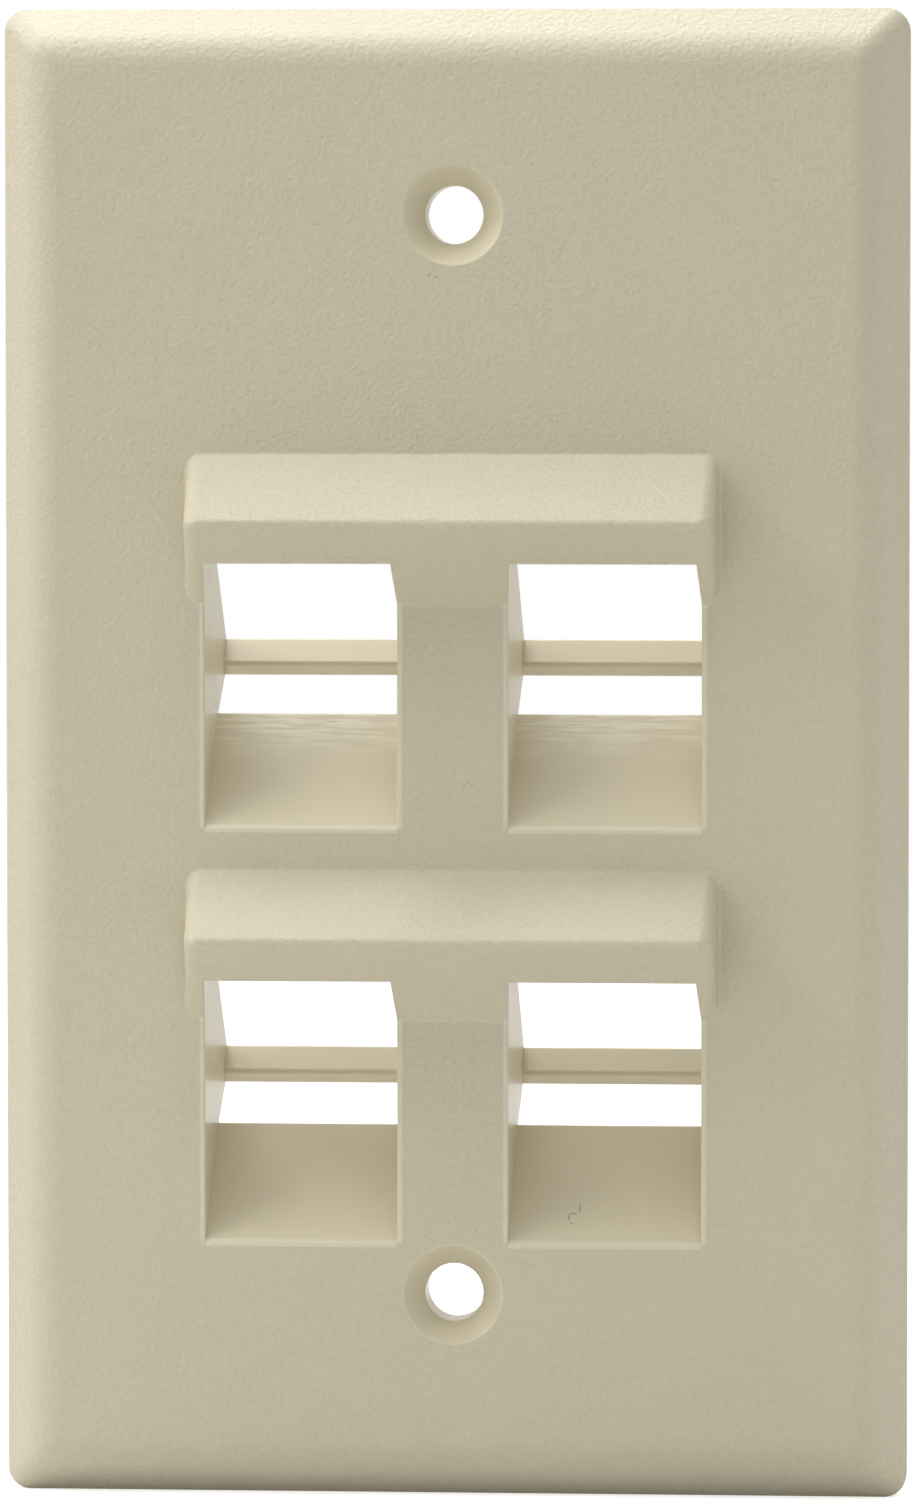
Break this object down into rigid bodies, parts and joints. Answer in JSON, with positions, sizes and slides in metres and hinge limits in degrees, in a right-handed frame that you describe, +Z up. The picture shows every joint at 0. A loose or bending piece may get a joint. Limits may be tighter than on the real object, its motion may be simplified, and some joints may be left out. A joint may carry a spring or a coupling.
{
  "type": "angled keystone wall plate",
  "caption": "Moulded single-gang wall plate with hooded, downward-angled snap-in ports in rows and countersunk screw holes above and below them.",
  "frame": {"origin": "midway between the two screw holes, in the plane of the wall", "axes": "+X to the right and +Z up as seen from the room, +Y into the wall; the front faces -Y"},
  "size_m": [0.07, 0.0215, 0.115],
  "materials": {
    "ivory_plastic": "fine matt texture outside, smoother inside the ports"
  },
  "bodies": {
    "root": {"faceplate": "ivory_plastic"}
  },
  "joints": []
}
